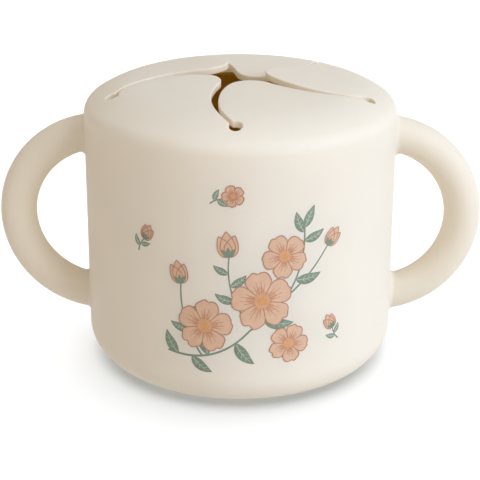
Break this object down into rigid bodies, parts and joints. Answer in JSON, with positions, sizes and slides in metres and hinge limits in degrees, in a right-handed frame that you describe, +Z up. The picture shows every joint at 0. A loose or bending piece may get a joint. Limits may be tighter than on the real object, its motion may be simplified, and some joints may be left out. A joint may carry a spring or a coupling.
{
  "type": "toddler snack container",
  "caption": "Round snack cup for a toddler with two loop handles and a soft lid of curved flaps that a small hand pushes through; the soft sleeve pulls off the rigid cup inside.",
  "frame": {"origin": "middle of the underside, on the plane that the container stands on", "axes": "+Z up, the handles along +X and -X, the front faces -Y"},
  "size_m": [0.1394, 0.089, 0.0827],
  "materials": {
    "cream_silicone": "matte",
    "cup_plastic": "satin"
  },
  "bodies": {
    "cup": {"inner_cup": "cup_plastic"},
    "sleeve": {"outer_sleeve": "cream_silicone", "base_lip": "cream_silicone", "left_handle": "cream_silicone", "right_handle": "cream_silicone"},
    "front_right_flap": {"front_right_flap": "cream_silicone"},
    "right_flap": {"right_flap": "cream_silicone"},
    "rear_flap": {"rear_flap": "cream_silicone"},
    "left_flap": {"left_flap": "cream_silicone"},
    "front_left_flap": {"front_left_flap": "cream_silicone"}
  },
  "joints": [
    {"name": "sleeve_lift", "type": "slide", "parent": "cup", "child": "sleeve", "axis": [0, 0, 1], "range_m": [0, 0.08], "deforming": ["base_lip"]},
    {"name": "front_right_flap_bend", "type": "hinge", "parent": "sleeve", "child": "front_right_flap", "pos_m": [0.01722, -0.02478, 0.07874], "axis": [-0.8211, -0.5707, 0], "range_deg": [-40, 65], "stiffness_Nm_per_rad": 0.01, "springref_deg": -1.03},
    {"name": "right_flap_bend", "type": "hinge", "parent": "sleeve", "child": "right_flap", "pos_m": [0.02889, 0.00872, 0.07874], "axis": [0.289, -0.9573, 0], "range_deg": [-40, 65], "stiffness_Nm_per_rad": 0.01, "springref_deg": -1.03},
    {"name": "rear_flap_bend", "type": "hinge", "parent": "sleeve", "child": "rear_flap", "pos_m": [0.00063, 0.03017, 0.07874], "axis": [0.9998, -0.0209, 0], "range_deg": [-40, 65], "stiffness_Nm_per_rad": 0.01, "springref_deg": -1.03},
    {"name": "left_flap_bend", "type": "hinge", "parent": "sleeve", "child": "left_flap", "pos_m": [-0.0285, 0.00992, 0.07874], "axis": [0.3289, 0.9444, 0], "range_deg": [-40, 65], "stiffness_Nm_per_rad": 0.01, "springref_deg": -1.03},
    {"name": "front_left_flap_bend", "type": "hinge", "parent": "sleeve", "child": "front_left_flap", "pos_m": [-0.01824, -0.02404, 0.07874], "axis": [-0.7965, 0.6046, 0], "range_deg": [-40, 65], "stiffness_Nm_per_rad": 0.01, "springref_deg": -1.03}
  ]
}
